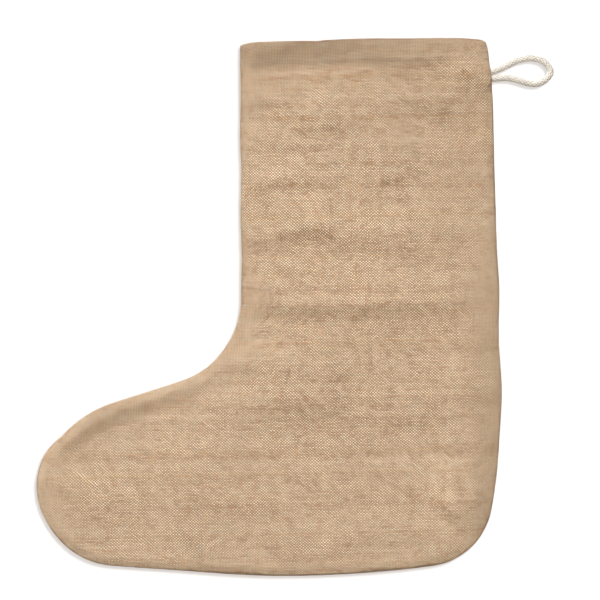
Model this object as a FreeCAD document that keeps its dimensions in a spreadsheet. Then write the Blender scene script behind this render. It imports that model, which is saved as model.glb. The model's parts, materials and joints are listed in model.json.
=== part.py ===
import FreeCAD, Part
import math
import os

import Sketcher

# A hanging stocking of natural jute cloth: two mirrored panels sewn together, turned right side out
# and hemmed at the mouth, with a braided cotton cord loop caught in the heel-side seam.
# The origin is the centre of the loop's eye. +Z runs up the leg and -Y faces the front.

SIZES = (
    # Where the bag sits relative to the eye of the loop.
    ("eye_to_shin", 239.3),
    ("eye_to_mouth", 28.0),
    # Outline of the stitched edge, from the mouth down the shin, round the toe and up the calf.
    ("mouth_width", 201.6),
    ("shin_lean", 1.0),
    ("shin_length", 204.0),
    ("ankle_radius", 71.0),
    ("ankle_turn", 72.5),
    ("instep_length", 57.0),
    ("toe_top_radius", 96.0),
    ("toe_top_turn", 25.7),
    ("toe_length", 17.1),
    ("toe_tip_radius", 33.0),
    ("toe_tip_turn", 28.9),
    ("ball_radius", 64.2),
    ("ball_turn", 103.3),
    ("sole_radius", 860.0),
    ("sole_turn", 12.2),
    ("heel_radius", 56.3),
    ("heel_turn", 73.8),
    ("calf_radius", 645.0),
    ("calf_turn", 10.1),
    # Cloth and the way it turns at the seam.
    ("cloth", 1.0),
    ("layer_gap", 0.05),
    ("allowance", 10.0),
    ("fold_radius", 0.4),
    ("rim_radius", 20.0),
    ("rim_turn", 60.0),
    ("rim_lap", 1.0),
    ("trim", 3.0),
    ("mouth_turn_less", 10.0),
    # Hem at the mouth.
    ("hem_depth", 17.0),
    ("hem_gap", 0.3),
    ("hem_stitch_rise", 14.0),
    # Cord, with its two legs one above the other in the seam.
    ("cord_radius", 2.5),
    ("core_radius", 1.4),
    ("core_gap", 0.1),
    ("core_start", 2.0),
    ("leg_start", 0.6),
    ("leg_offset", 2.9),
    ("tail_length", 30.0),
    ("tail_stand_out", 1.3),
    ("cord_gap", 0.1),
    ("swing_out", 7.0),
    ("fold_out", 9.0),
    ("fold_offset", 5.8),
    ("joint_gap", 0.3),
    ("eye_radius", 10.3),
    # Sewing threads.
    ("thread_radius", 0.2),
    ("thread_gap", 0.02),
    ("seam_inset", 2.5),
    ("seam_stitch", 5.0),
    ("overlock_inset", 6.0),
    ("overlock_stitch", 5.0),
    ("tack_inset", 3.6),
    ("tack_pitch", 0.6),
    ("tack_height", 8.0),
    ("hem_stitch", 8.0),
)
TACK_TURNS = 3
STITCH_RISE = 0.25         # part of a stitch in which the thread climbs out of the cloth
STITCH_FALL = 0.75         # part of a stitch at which it starts back down
THREADS_CROSS = 1.75       # where two stitch threads pass, in thread radii from the mid-plane
NIP = 0.75                 # how deep a hem stitch bites, in cloth thicknesses from the outer face
SOLE_LENGTH_GUESS = 77.3   # mm, roughly what the outline's other sizes leave for its free runs
CALF_LENGTH_GUESS = 266.8
LEAST_CHANGE = 1e-3        # mm3 that any pad or pocket has to add or take away
BELOW_MOUTH = 1.0          # mm between the mouth and the first stitch of a seam
SKETCH_ORIGIN = (-1, 1)
SKETCH_X_AXIS = -1
FRONT = -1
BACK = 1
UP = FreeCAD.Vector(0, 0, 1)


class Dim:
    """A size together with the sheet formula that gives it, so that a sketch can be drawn near its
    solution and then tied to the sheet."""

    def __init__(self, value, text):
        self.value = value
        self.text = text

    def __add__(self, other):
        other = as_dim(other)
        return Dim(self.value + other.value, f"({self.text} + {other.text})")

    def __sub__(self, other):
        other = as_dim(other)
        return Dim(self.value - other.value, f"({self.text} - {other.text})")

    def __mul__(self, other):
        other = as_dim(other)
        return Dim(self.value * other.value, f"({self.text} * {other.text})")

    def __truediv__(self, other):
        other = as_dim(other)
        return Dim(self.value / other.value, f"({self.text} / {other.text})")

    def __neg__(self):
        return Dim(-self.value, f"(0 - {self.text})")


def as_dim(number):
    return number if isinstance(number, Dim) else Dim(float(number), repr(float(number)))


def sine(angle):
    return Dim(math.sin(math.radians(angle.value)), f"sin({angle.text} * 1 deg)")


def cosine(angle):
    return Dim(math.cos(math.radians(angle.value)), f"cos({angle.text} * 1 deg)")


def make_sheet(doc):
    sheet = doc.addObject("Spreadsheet::Sheet", "Sizes")
    for row, (name, value) in enumerate(SIZES, start=1):
        sheet.set(f"A{row}", name)
        sheet.set(f"B{row}", str(value))
        sheet.setAlias(f"B{row}", name)
    doc.recompute()
    return sheet


doc = FreeCAD.newDocument("Stocking")
sheet = make_sheet(doc)
S = {name: Dim(float(sheet.get(name)), f"Sizes.{name}") for name, _ in SIZES}

# Sizes that follow from the ones in the sheet.
OUTER_FOLD = S["fold_radius"] + S["cloth"]
RIM_WIDTH = OUTER_FOLD * (as_dim(1) - sine(S["rim_turn"])) + S["rim_radius"] * sine(S["rim_turn"])
HALF_DEPTH = (
    S["layer_gap"]
    + OUTER_FOLD * (as_dim(1) + cosine(S["rim_turn"]))
    + S["rim_radius"] * (as_dim(1) - cosine(S["rim_turn"]))
)
TOP = S["eye_to_mouth"] + S["trim"]
LEFT = -S["eye_to_shin"]
RIGHT = LEFT + S["mouth_width"]
CALF_LEAN = (
    S["toe_top_turn"] + S["toe_tip_turn"] + S["ball_turn"] + S["sole_turn"] + S["heel_turn"]
    + S["calf_turn"] - S["ankle_turn"] - S["shin_lean"] - as_dim(180)
)
EXIT = RIGHT + (TOP * sine(CALF_LEAN))
SWING = EXIT + S["swing_out"]
FOLD = SWING + S["fold_out"]
SLEEVE = S["cord_radius"] + S["cord_gap"]


# ---------------------------------------------------------------- sketching helpers


def add_sketch(body, name, role, offset=None):
    """Adds a sketch on one of the body's own origin planes, moved along its normal by offset."""
    sketch = body.newObject("Sketcher::SketchObject", name)
    plane = [item for item in body.Origin.OriginFeatures if item.Role == role][0]
    sketch.AttachmentSupport = [(plane, "")]
    sketch.MapMode = "FlatFace"
    if offset is not None:
        sketch.setExpression("AttachmentOffset.Base.z", offset.text)
    return sketch


def tie(sketch, kind, dim, *where):
    """Adds a dimension to the sketch and ties it to the sheet. A guess adds nothing."""
    if not dim.text:
        return
    value = math.radians(dim.value) if kind == "Angle" else dim.value
    index = sketch.addConstraint(Sketcher.Constraint(kind, *where, value))
    sketch.setExpression(f"Constraints[{index}]", dim.text)


def pin_point(sketch, geometry, end, x, y):
    """Fixes one point of a sketch at x, y from the sketch's own origin."""
    tie(sketch, "DistanceX", x, *SKETCH_ORIGIN, geometry, end)
    tie(sketch, "DistanceY", y, *SKETCH_ORIGIN, geometry, end)


def draw_line(sketch, start, heading, length):
    """Draws a line that leaves start along heading. Like draw_arc, it returns the line's number, its
    first and last point numbers, where it ends and its heading there."""
    end = start + FreeCAD.Vector(math.cos(heading), math.sin(heading), 0) * length.value
    index = sketch.addGeometry(Part.LineSegment(start, end), False)
    return index, 1, 2, end, heading


def draw_arc(sketch, start, heading, radius, turn):
    """Draws an arc that leaves start along heading; a positive turn bends to the left."""
    side = 1 if turn > 0 else -1
    out = FreeCAD.Vector(math.sin(heading), -math.cos(heading), 0) * side
    centre = start - out * radius.value
    begin = math.atan2(out.y, out.x)
    finish = begin + math.radians(turn)
    end = centre + FreeCAD.Vector(math.cos(finish), math.sin(finish), 0) * radius.value
    circle = Part.Circle(centre, UP, radius.value)
    arc = Part.ArcOfCircle(circle, min(begin, finish), max(begin, finish))
    index = sketch.addGeometry(arc, False)
    ends = (1, 2) if side > 0 else (2, 1)
    return index, *ends, end, heading + math.radians(turn)


def draw_chain(sketch, start, heading, pieces, mirror=1):
    """Draws lines and arcs that run smoothly into each other. Each piece is (length,) for a line or
    (radius, turn, side) for an arc, where side is 1 for a left bend. Returns the chain's two ends."""
    at = FreeCAD.Vector(start[0].value, start[1].value, 0)
    angle = math.radians(heading.value)
    first = last = None
    for piece in pieces:
        if len(piece) == 3:
            radius, turn, side = piece
            made = draw_arc(sketch, at, angle, radius, turn.value * side * mirror)
            tie(sketch, "Radius", radius, made[0])
            tie(sketch, "Angle", turn, made[0])
        else:
            made = draw_line(sketch, at, angle, piece[0])
            tie(sketch, "Distance", piece[0], made[0])
        index, begin, finish, at, angle = made
        if last:
            sketch.addConstraint(Sketcher.Constraint("Tangent", last[0], last[1], index, begin))
        else:
            first = (index, begin)
        last = (index, finish)
    pin_point(sketch, *first, *start)
    return first, last


def aim(sketch, geometry, heading):
    """Fixes the direction in which a chain's first line leaves its start."""
    tie(sketch, "Angle", heading, geometry)


def join(sketch, one, two):
    """Closes the gap between two chain ends with a straight line."""
    a = sketch.getPoint(*one)
    b = sketch.getPoint(*two)
    index = sketch.addGeometry(Part.LineSegment(a, b), False)
    sketch.addConstraint(Sketcher.Constraint("Coincident", *one, index, 1))
    sketch.addConstraint(Sketcher.Constraint("Coincident", index, 2, *two))


def guess(value):
    """A starting length that the sketch's other dimensions settle."""
    return Dim(value, "")


def add_circle(sketch, x, y, radius):
    centre = FreeCAD.Vector(x.value, y.value, 0)
    index = sketch.addGeometry(Part.Circle(centre, UP, radius.value), False)
    tie(sketch, "Radius", radius, index)
    pin_point(sketch, index, 3, x, y)


def add_box(sketch, left, right, low, high):
    """Draws an upright rectangle from two opposite corners."""
    corners = [(left, low), (right, low), (right, high), (left, high)]
    points = [FreeCAD.Vector(x.value, y.value, 0) for x, y in corners]
    for here, there in zip(points, points[1:] + points[:1]):
        sketch.addGeometry(Part.LineSegment(here, there), False)
    for side in range(4):
        sketch.addConstraint(Sketcher.Constraint("Coincident", side, 2, (side + 1) % 4, 1))
        kind = "Horizontal" if side % 2 == 0 else "Vertical"
        sketch.addConstraint(Sketcher.Constraint(kind, side))
    pin_point(sketch, 0, 1, left, low)
    pin_point(sketch, 2, 1, right, high)


def add_pad(body, name, sketch, length, kind="PartDesign::Pad", reverse=False, both=False):
    """Pads, or pockets, a sketch. The result has to differ from what was there before."""
    doc.recompute()
    before = body.Tip.Shape.Volume if body.Tip else 0.0
    feature = body.newObject(kind, name)
    feature.Profile = sketch
    feature.Reversed = reverse
    if both:
        feature.SideType = "Symmetric"
    feature.setExpression("Length", length.text)
    doc.recompute()
    if abs(feature.Shape.Volume - before) < LEAST_CHANGE:
        raise ValueError(f"{name} changes nothing")


def add_pipe(body, name, profile, spine, kind="PartDesign::AdditivePipe"):
    pipe = body.newObject(kind, name)
    pipe.Profile = profile
    pipe.Spine = (spine, [])
    pipe.Mode = "Binormal"
    pipe.Binormal = FreeCAD.Vector(0, 1, 0)
    doc.recompute()
    return pipe


def add_loft(body, name, profile, section, kind="PartDesign::AdditiveLoft"):
    loft = body.newObject(kind, name)
    loft.Profile = profile
    loft.Sections = [section]
    loft.Ruled = True
    doc.recompute()


def add_mirror(body, name, features):
    """Repeats features below the XY plane."""
    plane = [item for item in body.Origin.OriginFeatures if item.Role == "XY_Plane"][0]
    mirror = body.newObject("PartDesign::Mirrored", name)
    mirror.Originals = features
    mirror.MirrorPlane = (plane, [""])
    body.Tip = mirror
    doc.recompute()


# ---------------------------------------------------------------- the two cloth panels


def outline_chain(inset):
    """The stitched edge, or a line that runs a set distance inside it."""
    return (
        (S["shin_length"] + S["trim"],),
        (S["ankle_radius"] + inset, S["ankle_turn"], -1),
        (S["instep_length"],),
        (S["toe_top_radius"] - inset, S["toe_top_turn"], 1),
        (S["toe_length"],),
        (S["toe_tip_radius"] - inset, S["toe_tip_turn"], 1),
        (S["ball_radius"] - inset, S["ball_turn"], 1),
        (guess(SOLE_LENGTH_GUESS),),
        (S["sole_radius"] - inset, S["sole_turn"], 1),
        (S["heel_radius"] - inset, S["heel_turn"], 1),
        (S["calf_radius"] - inset, S["calf_turn"], 1),
        (guess(CALF_LENGTH_GUESS),),
    )


def draw_outline(sketch, inset):
    """Draws the outline, inset from the stitched edge, from above the mouth down and round to it."""
    start = (LEFT + inset * cosine(S["shin_lean"]), TOP - inset * sine(S["shin_lean"]))
    heading = -S["shin_lean"] - as_dim(90)
    first, last = draw_chain(sketch, start, heading, outline_chain(inset))
    aim(sketch, 0, heading)
    pin_point(sketch, *last, RIGHT - inset * cosine(CALF_LEAN), TOP - inset * sine(CALF_LEAN))
    return first, last


def rim_chain(cloth_side):
    """Across the edge of a panel: in along the seam allowance, round the fold and up the rim."""
    return (
        (S["allowance"] - OUTER_FOLD,),
        (OUTER_FOLD - cloth_side, as_dim(180) - S["rim_turn"], -1),
        (S["rim_radius"] - cloth_side, S["rim_turn"], -1),
        (S["rim_lap"],),
    )


def draw_rim(sketch, side):
    """Draws the section of the turned edge. The two faces of the cloth are cloth apart."""
    ends = []
    for cloth_side in (as_dim(0), S["cloth"]):
        start = (LEFT + S["allowance"], (S["layer_gap"] + cloth_side) * as_dim(side))
        count = sketch.GeometryCount
        first, last = draw_chain(sketch, start, as_dim(180), rim_chain(cloth_side), side)
        sketch.addConstraint(Sketcher.Constraint("Horizontal", count))
        ends.append((first, last))
    join(sketch, ends[0][0], ends[1][0])
    join(sketch, ends[0][1], ends[1][1])


def draw_mouth(sketch, side, outer):
    """Draws a band of cloth across the mouth, set in from the panel's outer face by outer. It stops
    short of the seam allowances, so it turns a little less than the rim does."""
    ends = []
    turn = S["rim_turn"] - S["mouth_turn_less"]
    for layer in (outer, outer + S["cloth"]):
        radius = S["rim_radius"] - layer
        start = (
            LEFT + RIM_WIDTH - radius * sine(turn),
            (HALF_DEPTH - S["rim_radius"] + radius * cosine(turn)) * as_dim(side),
        )
        flat = S["mouth_width"] - RIM_WIDTH * as_dim(2)
        pieces = ((radius, turn, -1), (flat,), (radius, turn, -1))
        count = sketch.GeometryCount
        heading = Dim(turn.value * side, "")
        first, last = draw_chain(sketch, start, heading, pieces, side)
        sketch.addConstraint(Sketcher.Constraint("Horizontal", count + 1))
        ends.append((first, last))
    join(sketch, ends[0][0], ends[1][0])
    join(sketch, ends[0][1], ends[1][1])


def draw_slot(sketch, radius, side=0):
    """Draws the tall round-ended hole round both legs of the cord, or one side of its lining."""
    offset = S["leg_offset"]
    height = offset * as_dim(2)
    if not side:
        pieces = ((height,), (radius, as_dim(180), 1), (height,), (radius, as_dim(180), 1))
        draw_chain(sketch, (radius, -offset), as_dim(90), pieces)
        sketch.addConstraint(Sketcher.Constraint("Vertical", 0))
        return
    ends = []
    for layer in (radius, radius + S["cloth"]):
        pieces = ((layer, as_dim(90), 1), (height,), (layer, as_dim(90), 1))
        start = (S["layer_gap"] * as_dim(side), offset + layer)
        count = sketch.GeometryCount
        heading = as_dim(180 if side < 0 else 0)
        first, last = draw_chain(sketch, start, heading, pieces, -side)
        sketch.addConstraint(Sketcher.Constraint("Vertical", count + 1))
        ends.append((first, last))
    join(sketch, ends[0][0], ends[1][0])
    join(sketch, ends[0][1], ends[1][1])


def make_turned_cloth(body, name, side):
    """The panel's rim and seam allowance swept round the outline, with the flat face inside it, cut
    off level at the mouth. Returns the sketch of the stitched edge."""
    edge = add_sketch(body, f"{name}_edge", "XZ_Plane")
    draw_outline(edge, as_dim(0))
    rim = add_sketch(body, f"{name}_rim", "XY_Plane", TOP)
    draw_rim(rim, side)
    doc.recompute()
    add_pipe(body, f"{name}_turned_edge", rim, edge)

    depth = (HALF_DEPTH - S["cloth"]) if side == FRONT else -HALF_DEPTH
    face = add_sketch(body, f"{name}_face", "XZ_Plane", depth)
    first, last = draw_outline(face, RIM_WIDTH)
    join(face, last, first)
    add_pad(body, f"{name}_flat", face, S["cloth"])

    above = add_sketch(body, f"{name}_above", "XZ_Plane")
    add_box(above, LEFT - S["trim"], RIGHT + S["trim"], S["eye_to_mouth"], TOP + S["trim"])
    add_pad(body, f"{name}_trim", above, HALF_DEPTH * as_dim(4), "PartDesign::Pocket", both=True)
    return edge


def make_hem(body, name, side):
    """The layer turned down inside the mouth, and the fold that joins it to the panel's face."""
    hem = add_sketch(body, f"{name}_hem", "XY_Plane", S["eye_to_mouth"])
    draw_mouth(hem, side, S["cloth"] + S["hem_gap"])
    add_pad(body, f"{name}_hem_layer", hem, S["hem_depth"], reverse=True)
    fold = add_sketch(body, f"{name}_fold", "XY_Plane", S["eye_to_mouth"])
    draw_mouth(fold, side, (S["cloth"] + S["hem_gap"]) / as_dim(2))
    add_pad(body, f"{name}_hem_fold", fold, S["cloth"], reverse=True)


def make_cord_way(body, name, side):
    """The gap through which the cord leaves the seam, and the tunnel that the allowance makes round
    its tails."""
    hole = add_sketch(body, f"{name}_cord_hole", "YZ_Plane", EXIT + S["trim"])
    draw_slot(hole, SLEEVE)
    reach = S["trim"] + S["allowance"] + S["trim"]
    add_pad(body, f"{name}_cord_way", hole, reach, "PartDesign::Pocket")
    tunnel = add_sketch(body, f"{name}_cord_tunnel", "YZ_Plane", EXIT - S["cloth"])
    draw_slot(tunnel, SLEEVE, side)
    length = S["allowance"] - S["cloth"]
    add_pad(body, f"{name}_cord_sleeve", tunnel, length, reverse=True)


def make_panel(name, side):
    """One cloth panel. Returns its body and the sketch of its stitched edge."""
    body = doc.addObject("PartDesign::Body", name)
    edge = make_turned_cloth(body, name, side)
    make_hem(body, name, side)
    make_cord_way(body, name, side)
    return body, edge


# ---------------------------------------------------------------- the braided cord


def draw_legs(sketch, offset, radius, bore=None):
    """Draws the section of both cord legs, each a disc or a ring."""
    for height in (offset, -offset):
        add_circle(sketch, as_dim(0), height, radius)
        if bore is not None:
            add_circle(sketch, as_dim(0), height, bore)


def make_tails(name, radius, bore=None):
    """The two ends of the cord, held between the seam allowances."""
    body = doc.addObject("PartDesign::Body", name)
    section = add_sketch(body, f"{name}_section", "YZ_Plane", EXIT + S["tail_stand_out"])
    draw_legs(section, S["leg_offset"], radius, bore)
    add_pad(body, f"{name}_run", section, S["tail_length"] + S["tail_stand_out"], reverse=True)
    return body


def stem_leg(body, name, radius, start, side, kind="PartDesign::AdditiveLoft"):
    """One leg of the stem, above or below, which spreads from the swing axis to the fold axis."""
    sections = []
    spread = S["fold_offset"] - S["leg_offset"]
    end = S["fold_out"] - S["cord_radius"] - S["joint_gap"]
    for label, reach in (("near", start), ("far", end)):
        height = (S["leg_offset"] + spread * reach * (as_dim(1) / S["fold_out"])) * as_dim(side)
        sketch = add_sketch(body, f"{name}_{label}", "YZ_Plane", SWING + reach)
        add_circle(sketch, as_dim(0), height, radius)
        sections.append(sketch)
    doc.recompute()
    add_loft(body, name, *sections, kind)


def make_stem_braid():
    """The short stretch of cord between its two bend zones, with the first bend as a round knuckle."""
    name = "cord_stem_braid"
    body = doc.addObject("PartDesign::Body", name)
    round_end = add_sketch(body, f"{name}_bend", "XZ_Plane")
    add_circle(round_end, SWING, as_dim(0), S["leg_offset"] + S["cord_radius"])
    add_pad(body, f"{name}_knuckle", round_end, SLEEVE * as_dim(2), both=True)
    bore = S["core_radius"] + S["core_gap"]
    for label, side in (("upper", 1), ("lower", -1)):
        stem_leg(body, f"{name}_{label}", S["cord_radius"], S["leg_start"], side)
        hollow = "PartDesign::SubtractiveLoft"
        stem_leg(body, f"{name}_{label}_bore", bore, S["core_start"], side, hollow)
    return body


def make_stem_core():
    name = "cord_stem_core"
    body = doc.addObject("PartDesign::Body", name)
    start = S["core_start"] + S["core_gap"]
    for label, side in (("upper", 1), ("lower", -1)):
        stem_leg(body, f"{name}_{label}", S["core_radius"], start, side)
    return body


def draw_half_loop(sketch):
    """Draws the upper half of the loop, from the far end of the eye back to the fold axis."""
    reach = math.hypot(FOLD.value, S["fold_offset"].value)
    rise = math.atan2(S["fold_offset"].value, -FOLD.value)
    turn = math.pi - rise - math.acos(S["eye_radius"].value / reach)
    straight = math.sqrt(reach ** 2 - S["eye_radius"].value ** 2)
    pieces = ((S["eye_radius"], guess(math.degrees(turn)), 1), (guess(straight),))
    start = (S["eye_radius"], as_dim(0))
    _, last = draw_chain(sketch, start, as_dim(90), pieces)
    arc_centre = (0, 3)
    sketch.addConstraint(Sketcher.Constraint("PointOnObject", *arc_centre, SKETCH_X_AXIS))
    pin_point(sketch, *last, FOLD, S["fold_offset"])


def loop_pipe(body, name, radius, kind="PartDesign::AdditivePipe"):
    """A round rod swept along the upper half of the loop."""
    path = add_sketch(body, f"{name}_path", "XZ_Plane")
    draw_half_loop(path)
    section = add_sketch(body, f"{name}_section", "XY_Plane")
    add_circle(section, S["eye_radius"], as_dim(0), radius)
    doc.recompute()
    return add_pipe(body, name, section, path, kind)


def make_loop_braid():
    """The loop itself, with a round end on each leg where it meets the fold axis."""
    name = "cord_loop_braid"
    body = doc.addObject("PartDesign::Body", name)
    rod = loop_pipe(body, f"{name}_rod", S["cord_radius"])
    ball = body.newObject("PartDesign::AdditiveSphere", f"{name}_ball")
    ball.setExpression("Radius", S["cord_radius"].text)
    ball.setExpression("Placement.Base.x", FOLD.text)
    ball.setExpression("Placement.Base.z", S["fold_offset"].text)
    bore = loop_pipe(body, f"{name}_bore", S["core_radius"] + S["core_gap"], "PartDesign::SubtractivePipe")
    add_mirror(body, f"{name}_lower", [rod, ball, bore])
    return body


def make_loop_core():
    name = "cord_loop_core"
    body = doc.addObject("PartDesign::Body", name)
    rod = loop_pipe(body, f"{name}_rod", S["core_radius"])
    add_mirror(body, f"{name}_lower", [rod])
    return body


# ---------------------------------------------------------------- sewing threads


def along_edge(edge, step):
    """Points step apart along the stitched edge below the mouth, each with the direction of travel
    and the direction into the bag."""
    points = edge.Shape.Wires[0].discretize(Distance=step)
    if points[0].x > points[-1].x:
        points.reverse()
    frames = []
    for before, here, after in zip(points, points[1:], points[2:]):
        run = (after - before).normalize()
        if here.z < S["eye_to_mouth"].value - BELOW_MOUTH:
            frames.append((here, run, FreeCAD.Vector(-run.z, 0, run.x)))
    return frames


def sweep_thread(points):
    """A thread drawn as round wire along straight runs."""
    path = Part.makePolygon(points)
    section = Part.Circle(points[0], path.Edges[0].tangentAt(0), S["thread_radius"].value)
    sharp_corners = 1
    return path.makePipeShell([Part.Wire([section.toShape()])], True, False, sharp_corners)


def add_thread(name, shapes):
    thread = doc.addObject("Part::Feature", name)
    thread.Shape = shapes[0] if len(shapes) == 1 else Part.makeCompound(shapes)
    thread.Placement = FreeCAD.Placement()
    return thread


def lockstitch_points(edge, side):
    """Path of one thread of a lockstitch: along the cloth, then down to meet its partner."""
    radius = S["thread_radius"].value
    across = FreeCAD.Vector(0, side, 0)
    surface = S["layer_gap"].value + S["cloth"].value + radius + S["thread_gap"].value
    meeting = radius * THREADS_CROSS
    holes = [
        here + inward * S["seam_inset"].value
        for here, _, inward in along_edge(edge, S["seam_stitch"].value)
    ]
    points = []
    for hole, following in zip(holes, holes[1:]):
        stitch = following - hole
        points.append(hole + across * meeting)
        points.append(hole + stitch * STITCH_RISE + across * surface)
        points.append(hole + stitch * STITCH_FALL + across * surface)
    points.append(holes[-1] + across * meeting)
    return points


def lift_over_cord(here):
    """Half the thickness that a thread has to go round, more where the cord lies in the seam."""
    flat = S["layer_gap"].value + S["cloth"].value
    clear = S["leg_offset"].value + SLEEVE.value + S["cloth"].value * 2
    on_cord_side = here.x > (LEFT.value + RIGHT.value) / 2
    if on_cord_side and abs(here.z) < clear:
        return S["layer_gap"].value + SLEEVE.value + S["cloth"].value
    return flat


def overlock_points(edge):
    """A thread wound round the raw edges of both seam allowances, binding them together."""
    radius = S["thread_radius"].value
    margin = radius + S["thread_gap"].value
    points = []
    for here, run, inward in along_edge(edge, S["overlock_stitch"].value):
        outer = here + inward * S["overlock_inset"].value
        raw = here + inward * (S["allowance"].value + margin)
        high = FreeCAD.Vector(0, lift_over_cord(here) + margin, 0)
        advance = run * (S["overlock_stitch"].value / 2)
        points += [outer - high, raw - high, raw + high, outer + advance + high]
    return points


def tack_points():
    """A bar tack: a few turns of thread round the cord's two tails and through the allowances."""
    radius = S["thread_radius"].value
    flat = S["layer_gap"].value + S["cloth"].value + radius + S["thread_gap"].value
    proud = S["layer_gap"].value + SLEEVE.value + S["cloth"].value + radius + S["thread_gap"].value
    shoulder = S["leg_offset"].value
    tall = S["tack_height"].value
    corners = (
        (-proud, -shoulder), (-proud, shoulder), (-flat, tall), (flat, tall),
        (proud, shoulder), (proud, -shoulder), (flat, -tall), (-flat, -tall),
    )
    start = EXIT.value - S["tack_inset"].value
    step = S["tack_pitch"].value / len(corners)
    return [
        FreeCAD.Vector(start - step * (turn * len(corners) + index), y, z)
        for turn in range(TACK_TURNS)
        for index, (y, z) in enumerate(corners)
    ]


def hem_points(side):
    """A blind stitch along the flat of one panel: it shows inside and only nips the outer cloth."""
    radius = S["thread_radius"].value
    cloth = S["cloth"].value
    inner_face = HALF_DEPTH.value - 2 * cloth - S["hem_gap"].value
    inside = (inner_face - radius - S["thread_gap"].value) * side
    nip = (HALF_DEPTH.value - cloth * NIP) * side
    height = S["eye_to_mouth"].value - S["hem_stitch_rise"].value
    first = LEFT.value + RIM_WIDTH.value
    stitch = S["hem_stitch"].value
    count = int((S["mouth_width"].value - 2 * RIM_WIDTH.value) / stitch)
    points = []
    for index in range(count):
        x = first + index * stitch
        points.append(FreeCAD.Vector(x, nip, height))
        points.append(FreeCAD.Vector(x + STITCH_RISE * stitch, inside, height))
        points.append(FreeCAD.Vector(x + STITCH_FALL * stitch, inside, height))
    points.append(FreeCAD.Vector(first + count * stitch, nip, height))
    return points


# ---------------------------------------------------------------- the whole stocking


def build():
    front, edge = make_panel("front_panel", FRONT)
    back, _ = make_panel("back_panel", BACK)
    bore = S["core_radius"] + S["core_gap"]
    parts = [
        front,
        back,
        make_tails("cord_tails_braid", S["cord_radius"], bore),
        make_tails("cord_tails_core", S["core_radius"]),
        make_stem_braid(),
        make_stem_core(),
        make_loop_braid(),
        make_loop_core(),
        add_thread("side_seam_needle_thread", [sweep_thread(lockstitch_points(edge, FRONT))]),
        add_thread("side_seam_bobbin_thread", [sweep_thread(lockstitch_points(edge, BACK))]),
        add_thread("allowance_overlock_thread", [sweep_thread(overlock_points(edge))]),
        add_thread("cord_tack_thread", [sweep_thread(tack_points())]),
        add_thread("hem_threads", [sweep_thread(hem_points(side)) for side in (FRONT, BACK)]),
    ]
    for part in parts:
        part.Label = part.Name
    return parts


def check(parts):
    """Stops if any object failed to recompute or any piece isn't a sound solid."""
    doc.recompute()
    for item in doc.Objects:
        if {"Invalid", "Error"} & set(item.State):
            raise ValueError(f"{item.Name} is {item.State}")
    for part in parts:
        if part.Shape.isNull() or not part.Shape.isValid() or not part.Shape.Solids:
            raise ValueError(f"{part.Label} is not a sound solid")
        print(part.Label, len(part.Shape.Solids), "solids", round(part.Shape.Volume, 1), "mm3")


parts = build()
check(parts)
os.makedirs("parts", exist_ok=True)
for part in parts:
    part.Shape.exportStep(f"parts/{part.Label}.step")
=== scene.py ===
import json
import math

import bpy
import numpy as np
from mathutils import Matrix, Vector, geometry, kdtree
from mathutils.bvhtree import BVHTree


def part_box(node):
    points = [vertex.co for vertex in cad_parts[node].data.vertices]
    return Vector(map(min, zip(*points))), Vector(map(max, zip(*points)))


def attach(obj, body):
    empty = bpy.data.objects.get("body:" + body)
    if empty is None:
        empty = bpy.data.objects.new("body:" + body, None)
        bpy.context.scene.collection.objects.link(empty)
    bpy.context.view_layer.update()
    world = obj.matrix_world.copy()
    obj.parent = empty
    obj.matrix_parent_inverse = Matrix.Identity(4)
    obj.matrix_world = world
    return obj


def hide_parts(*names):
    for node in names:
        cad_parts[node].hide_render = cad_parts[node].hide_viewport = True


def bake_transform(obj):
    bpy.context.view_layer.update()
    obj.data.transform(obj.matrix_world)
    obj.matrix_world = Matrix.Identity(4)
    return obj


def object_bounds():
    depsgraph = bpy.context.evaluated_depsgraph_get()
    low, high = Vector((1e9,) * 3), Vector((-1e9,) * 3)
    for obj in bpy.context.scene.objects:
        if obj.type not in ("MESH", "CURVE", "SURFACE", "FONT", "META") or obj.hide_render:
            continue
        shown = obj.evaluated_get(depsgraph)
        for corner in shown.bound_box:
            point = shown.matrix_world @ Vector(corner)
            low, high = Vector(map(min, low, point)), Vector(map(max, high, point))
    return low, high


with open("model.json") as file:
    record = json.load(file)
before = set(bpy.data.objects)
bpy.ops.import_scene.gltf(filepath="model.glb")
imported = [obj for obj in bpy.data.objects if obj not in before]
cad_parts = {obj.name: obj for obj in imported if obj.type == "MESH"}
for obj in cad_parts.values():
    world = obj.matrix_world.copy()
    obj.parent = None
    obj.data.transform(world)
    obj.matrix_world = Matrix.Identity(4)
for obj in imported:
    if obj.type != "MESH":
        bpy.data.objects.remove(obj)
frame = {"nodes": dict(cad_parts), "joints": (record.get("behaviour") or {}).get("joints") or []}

CAD_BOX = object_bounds()
MM = 0.001
RNG = np.random.default_rng(17)

# ---- sizes of the sewn cloth, in metres

PITCH = 3.8 * MM          # spacing of the cloth grid before it is subdivided
CLOTH = 0.9 * MM          # thickness of the cloth
ALLOWANCE = 9.5 * MM      # width of the turned-in seam allowance
HEM = 17.0 * MM           # depth of the hem inside the mouth
THREAD_R = 0.22 * MM      # radius of the sewing thread
WRINKLE = 0.75 * MM       # most that a settled wrinkle may stand out
CORD_LIFT = 2.7 * MM      # most that a seam allowance lifts over the cord
LAYER_OUT = 0.95 * MM     # outer face of a flat seam allowance, from the mid-plane
FRONT, BACK = -1, 1       # the way each panel faces along Y

JOINTS = {j["name"]: j for j in frame["joints"]}
SWING = Vector(JOINTS["loop_swing"]["pos_m"])
FOLD = Vector(JOINTS["loop_fold"]["pos_m"])
PANEL_LOW, PANEL_HIGH = (np.array(c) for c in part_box("front_panel"))
TOP = PANEL_HIGH[2]


# ---- small mesh helpers


def smoothstep(a, b, x):
    t = np.clip((np.asarray(x, float) - a) / (b - a), 0.0, 1.0)
    return t * t * (3 - 2 * t)


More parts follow.
